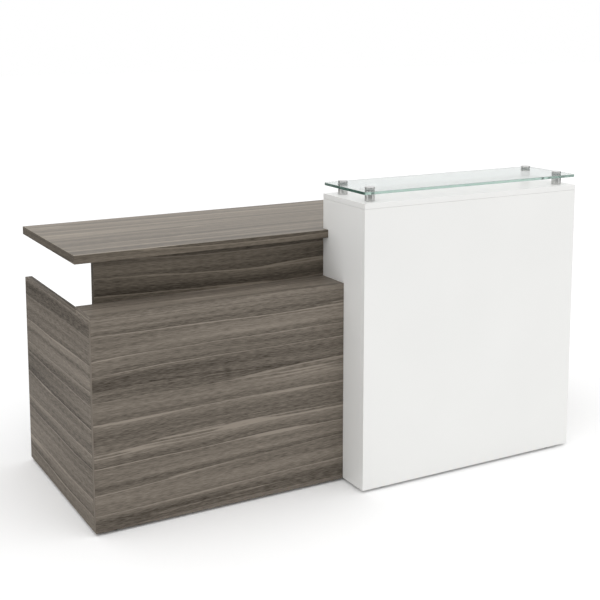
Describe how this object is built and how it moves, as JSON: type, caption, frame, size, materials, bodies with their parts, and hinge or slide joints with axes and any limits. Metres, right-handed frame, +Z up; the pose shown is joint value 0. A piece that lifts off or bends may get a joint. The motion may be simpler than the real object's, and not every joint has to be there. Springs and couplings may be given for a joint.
{
  "type": "reception desk",
  "caption": "Reception desk: wood-grain counter and front ledge on the left, a taller white tower on the right under a clear glass shelf on steel standoffs, on levelling glides.",
  "frame": {"origin": "centre of the overall box in plan, on the floor plane under the levelling glides", "axes": "+Z up, -Y to the visitor's side, +X to the visitor's right, from the low end to the tower"},
  "size_m": [1.866, 0.866, 1.0645],
  "materials": {
    "wood_laminate": "matt grey-brown wood-grain laminate",
    "white_laminate": "satin white laminate on board",
    "batten_wood": "sanded bare softwood",
    "shelf_glass": "clear, polished green edges",
    "standoff_steel": "polished",
    "zinc_steel": "zinc plated",
    "washer_plastic": "clear",
    "glide_plastic": "black, moulded",
    "bracket_steel": "black powder coat"
  },
  "bodies": {
    "desk": {"counter_bracket_left": "bracket_steel", "counter_bracket_middle": "bracket_steel", "counter_bracket_right": "bracket_steel", "countertop": "wood_laminate", "front_base_rail": "batten_wood", "front_panel": "wood_laminate", "glass_shelf": "shelf_glass", "glide_insert_front_left": "zinc_steel", "glide_insert_front_right": "zinc_steel", "glide_insert_rear_left": "zinc_steel", "glide_insert_rear_right": "zinc_steel", "glide_insert_tower_front_left": "zinc_steel", "glide_insert_tower_front_right": "zinc_steel", "glide_insert_tower_rear_left": "zinc_steel", "glide_insert_tower_rear_right": "zinc_steel", "ledge": "wood_laminate", "ledge_cleat": "batten_wood", "left_base_rail": "batten_wood", "left_end_panel": "wood_laminate", "modesty_panel": "wood_laminate", "right_base_rail": "batten_wood", "right_end_panel": "wood_laminate", "standoff_barrel_front_left": "standoff_steel", "standoff_barrel_front_right": "standoff_steel", "standoff_barrel_rear_left": "standoff_steel", "standoff_barrel_rear_right": "standoff_steel", "standoff_bolt_front_left": "zinc_steel", "standoff_bolt_front_right": "zinc_steel", "standoff_bolt_rear_left": "zinc_steel", "standoff_bolt_rear_right": "zinc_steel", "standoff_cap_front_left": "standoff_steel", "standoff_cap_front_right": "standoff_steel", "standoff_cap_rear_left": "standoff_steel", "standoff_cap_rear_right": "standoff_steel", "standoff_lower_washer_front_left": "washer_plastic", "standoff_lower_washer_front_right": "washer_plastic", "standoff_lower_washer_rear_left": "washer_plastic", "standoff_lower_washer_rear_right": "washer_plastic", "standoff_upper_washer_front_left": "washer_plastic", "standoff_upper_washer_front_right": "washer_plastic", "standoff_upper_washer_rear_left": "washer_plastic", "standoff_upper_washer_rear_right": "washer_plastic", "tower_back_panel": "white_laminate", "tower_bottom": "white_laminate", "tower_front_panel": "white_laminate", "tower_left_side": "white_laminate", "tower_right_side": "white_laminate", "tower_shelf": "white_laminate", "tower_top": "white_laminate"},
    "glide_front_left": {"glide_foot_front_left": "glide_plastic"},
    "glide_front_right": {"glide_foot_front_right": "glide_plastic"},
    "glide_rear_left": {"glide_foot_rear_left": "glide_plastic"},
    "glide_rear_right": {"glide_foot_rear_right": "glide_plastic"},
    "glide_tower_front_left": {"glide_foot_tower_front_left": "glide_plastic"},
    "glide_tower_front_right": {"glide_foot_tower_front_right": "glide_plastic"},
    "glide_tower_rear_left": {"glide_foot_tower_rear_left": "glide_plastic"},
    "glide_tower_rear_right": {"glide_foot_tower_rear_right": "glide_plastic"}
  },
  "joints": [
    {"name": "level_front_left", "type": "slide", "parent": "desk", "child": "glide_front_left", "axis": [0, 0, -1], "range_m": [0, 0.012]},
    {"name": "level_front_right", "type": "slide", "parent": "desk", "child": "glide_front_right", "axis": [0, 0, -1], "range_m": [0, 0.012]},
    {"name": "level_rear_left", "type": "slide", "parent": "desk", "child": "glide_rear_left", "axis": [0, 0, -1], "range_m": [0, 0.012]},
    {"name": "level_rear_right", "type": "slide", "parent": "desk", "child": "glide_rear_right", "axis": [0, 0, -1], "range_m": [0, 0.012]},
    {"name": "level_tower_front_left", "type": "slide", "parent": "desk", "child": "glide_tower_front_left", "axis": [0, 0, -1], "range_m": [0, 0.012]},
    {"name": "level_tower_front_right", "type": "slide", "parent": "desk", "child": "glide_tower_front_right", "axis": [0, 0, -1], "range_m": [0, 0.012]},
    {"name": "level_tower_rear_left", "type": "slide", "parent": "desk", "child": "glide_tower_rear_left", "axis": [0, 0, -1], "range_m": [0, 0.012]},
    {"name": "level_tower_rear_right", "type": "slide", "parent": "desk", "child": "glide_tower_rear_right", "axis": [0, 0, -1], "range_m": [0, 0.012]}
  ]
}
